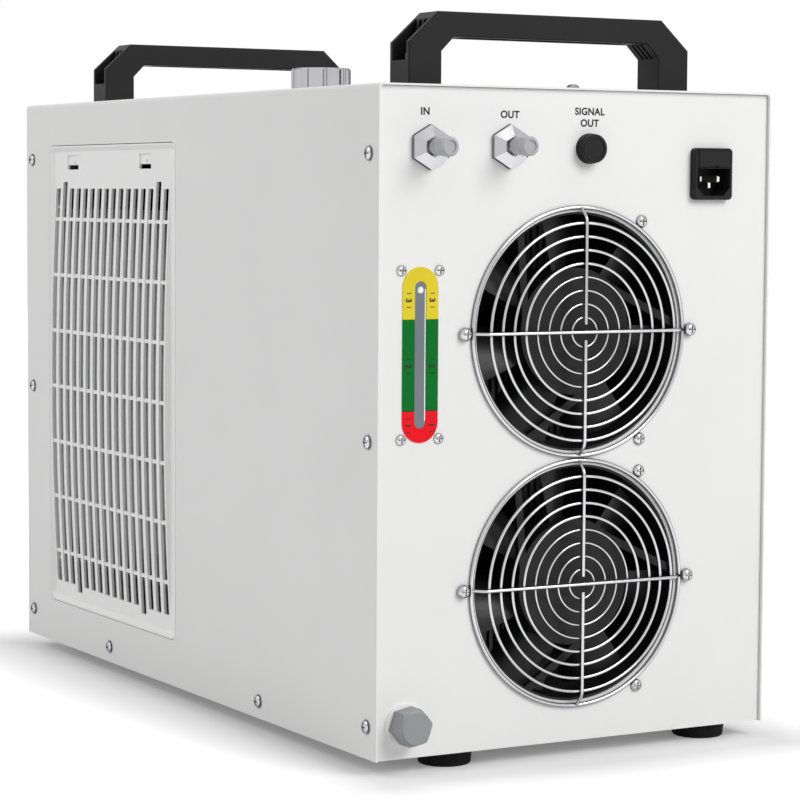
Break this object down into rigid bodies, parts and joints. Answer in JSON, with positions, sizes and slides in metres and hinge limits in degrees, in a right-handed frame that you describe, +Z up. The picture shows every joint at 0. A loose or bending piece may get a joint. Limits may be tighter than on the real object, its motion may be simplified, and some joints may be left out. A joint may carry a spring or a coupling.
{
  "type": "water chiller",
  "caption": "Refrigerated recirculating water chiller: folded sheet casing with carrying handles, rear fans with wire guards, hose ports, level gauge, side filter doors.",
  "frame": {"origin": "centre of the bounding box's bottom, on the floor under the feet", "axes": "+Z up, +Y towards the back with the fans and ports, +X towards the right side seen from the front"},
  "size_m": [0.295, 0.5958, 0.4675],
  "materials": {
    "white_paint": "smooth satin powder coat",
    "white_plastic": "satin",
    "filter_cloth": "open net",
    "black_plastic": "satin",
    "fan_black": "satin",
    "black_rubber": "matte",
    "chrome": "bright plated",
    "zinc_steel": "zinc plated",
    "gauge_print": "printed film in yellow, green and red fields",
    "gauge_clear": "clear moulding",
    "cap_grey": "soft translucent",
    "plug_grey": "satin",
    "brass": "plain",
    "button_grey": "satin",
    "dark_window": "gloss",
    "rocker_red": "gloss",
    "tank_white": "milky",
    "copper": "plain copper",
    "aluminium": "mill finish",
    "compressor_black": "satin",
    "pump_blue": "satin",
    "hose_clear": "milky silicone",
    "box_grey": "satin"
  },
  "bodies": {
    "casing": {"base_pan": "white_paint", "cover": "white_paint", "back_panel": "white_paint", "front_panel": "white_paint", "rear_handle": "black_plastic", "front_handle": "black_plastic", "handle_bolts": "zinc_steel", "casing_screws": "chrome", "foot_bolts": "zinc_steel", "filler_neck": "white_plastic", "filler_gasket": "black_rubber", "fan_screws": "chrome", "gauge_label": "gauge_print", "gauge_window": "gauge_clear", "gauge_screws": "chrome", "port_locknuts": "chrome", "alarm_socket": "black_plastic", "power_inlet": "black_plastic", "power_pins": "brass", "drain_spout": "white_plastic", "controller_housing": "black_plastic", "controller_window": "dark_window", "switch_housing": "black_plastic", "water_tank": "tank_white", "tank_stand": "zinc_steel", "evaporator_coil": "copper", "water_pump": "pump_blue", "compressor": "compressor_black", "compressor_mounts": "black_rubber", "condenser": "aluminium", "filter_drier": "copper", "refrigerant_lines": "copper", "water_hoses": "hose_clear", "electrical_box": "box_grey", "inlet_fitting": "chrome", "outlet_fitting": "chrome", "upper_fan_housing": "fan_black", "upper_fan_guard": "chrome", "lower_fan_housing": "fan_black", "lower_fan_guard": "chrome", "foot_rear_right": "black_rubber", "foot_rear_left": "black_rubber", "foot_front_right": "black_rubber", "foot_front_left": "black_rubber"},
    "upper_fan": {"upper_fan_rotor": "black_plastic"},
    "lower_fan": {"lower_fan_rotor": "black_plastic"},
    "right_door": {"right_filter_door": "white_plastic", "right_filter_mesh": "filter_cloth"},
    "left_door": {"left_filter_door": "white_plastic", "left_filter_mesh": "filter_cloth"},
    "water_filler_cap": {"filler_cap": "chrome"},
    "drain_cap": {"drain_plug": "plug_grey"},
    "alarm_socket_cap": {"alarm_cap": "black_plastic"},
    "inlet_dust_cap": {"inlet_cap": "cap_grey"},
    "outlet_dust_cap": {"outlet_cap": "cap_grey"},
    "fuse_holder": {"fuse_drawer": "black_plastic"},
    "power_rocker": {"switch_rocker": "rocker_red"},
    "set_key": {"set_button": "button_grey"},
    "down_key": {"down_button": "button_grey"},
    "up_key": {"up_button": "button_grey"}
  },
  "joints": [
    {"name": "upper_fan_spin", "type": "hinge", "parent": "casing", "child": "upper_fan", "pos_m": [0, 0.24505, 0.2692], "axis": [0, 1, 0], "continuous": true},
    {"name": "lower_fan_spin", "type": "hinge", "parent": "casing", "child": "lower_fan", "pos_m": [0, 0.24505, 0.1106], "axis": [0, 1, 0], "continuous": true},
    {"name": "right_door_swing", "type": "hinge", "parent": "casing", "child": "right_door", "pos_m": [0.145, -0.1304, 0.0425], "axis": [0, 1, 0], "range_deg": [0, 60]},
    {"name": "left_door_swing", "type": "hinge", "parent": "casing", "child": "left_door", "pos_m": [-0.145, -0.1304, 0.0425], "axis": [0, -1, 0], "range_deg": [0, 60]},
    {"name": "filler_cap_lift", "type": "slide", "parent": "casing", "child": "water_filler_cap", "axis": [0, 0, 1], "range_m": [0, 0.03]},
    {"name": "drain_plug_off", "type": "slide", "parent": "casing", "child": "drain_cap", "axis": [0, 1, 0], "range_m": [0, 0.03]},
    {"name": "alarm_cap_off", "type": "slide", "parent": "casing", "child": "alarm_socket_cap", "axis": [0, 1, 0], "range_m": [0, 0.02]},
    {"name": "inlet_cap_off", "type": "slide", "parent": "casing", "child": "inlet_dust_cap", "axis": [0, 1, 0], "range_m": [0, 0.03]},
    {"name": "outlet_cap_off", "type": "slide", "parent": "casing", "child": "outlet_dust_cap", "axis": [0, 1, 0], "range_m": [0, 0.03]},
    {"name": "fuse_drawer_pull", "type": "slide", "parent": "casing", "child": "fuse_holder", "axis": [0, 1, 0], "range_m": [0, 0.018]},
    {"name": "power_switch_rock", "type": "hinge", "parent": "casing", "child": "power_rocker", "pos_m": [0.1, -0.28865, 0.355], "axis": [-1, 0, 0], "range_deg": [0, 18]},
    {"name": "set_key_press", "type": "slide", "parent": "casing", "child": "set_key", "axis": [0, 1, 0], "range_m": [0, 0.0008], "stiffness_N_per_m": 1000},
    {"name": "down_key_press", "type": "slide", "parent": "casing", "child": "down_key", "axis": [0, 1, 0], "range_m": [0, 0.0008], "stiffness_N_per_m": 1000},
    {"name": "up_key_press", "type": "slide", "parent": "casing", "child": "up_key", "axis": [0, 1, 0], "range_m": [0, 0.0008], "stiffness_N_per_m": 1000}
  ]
}
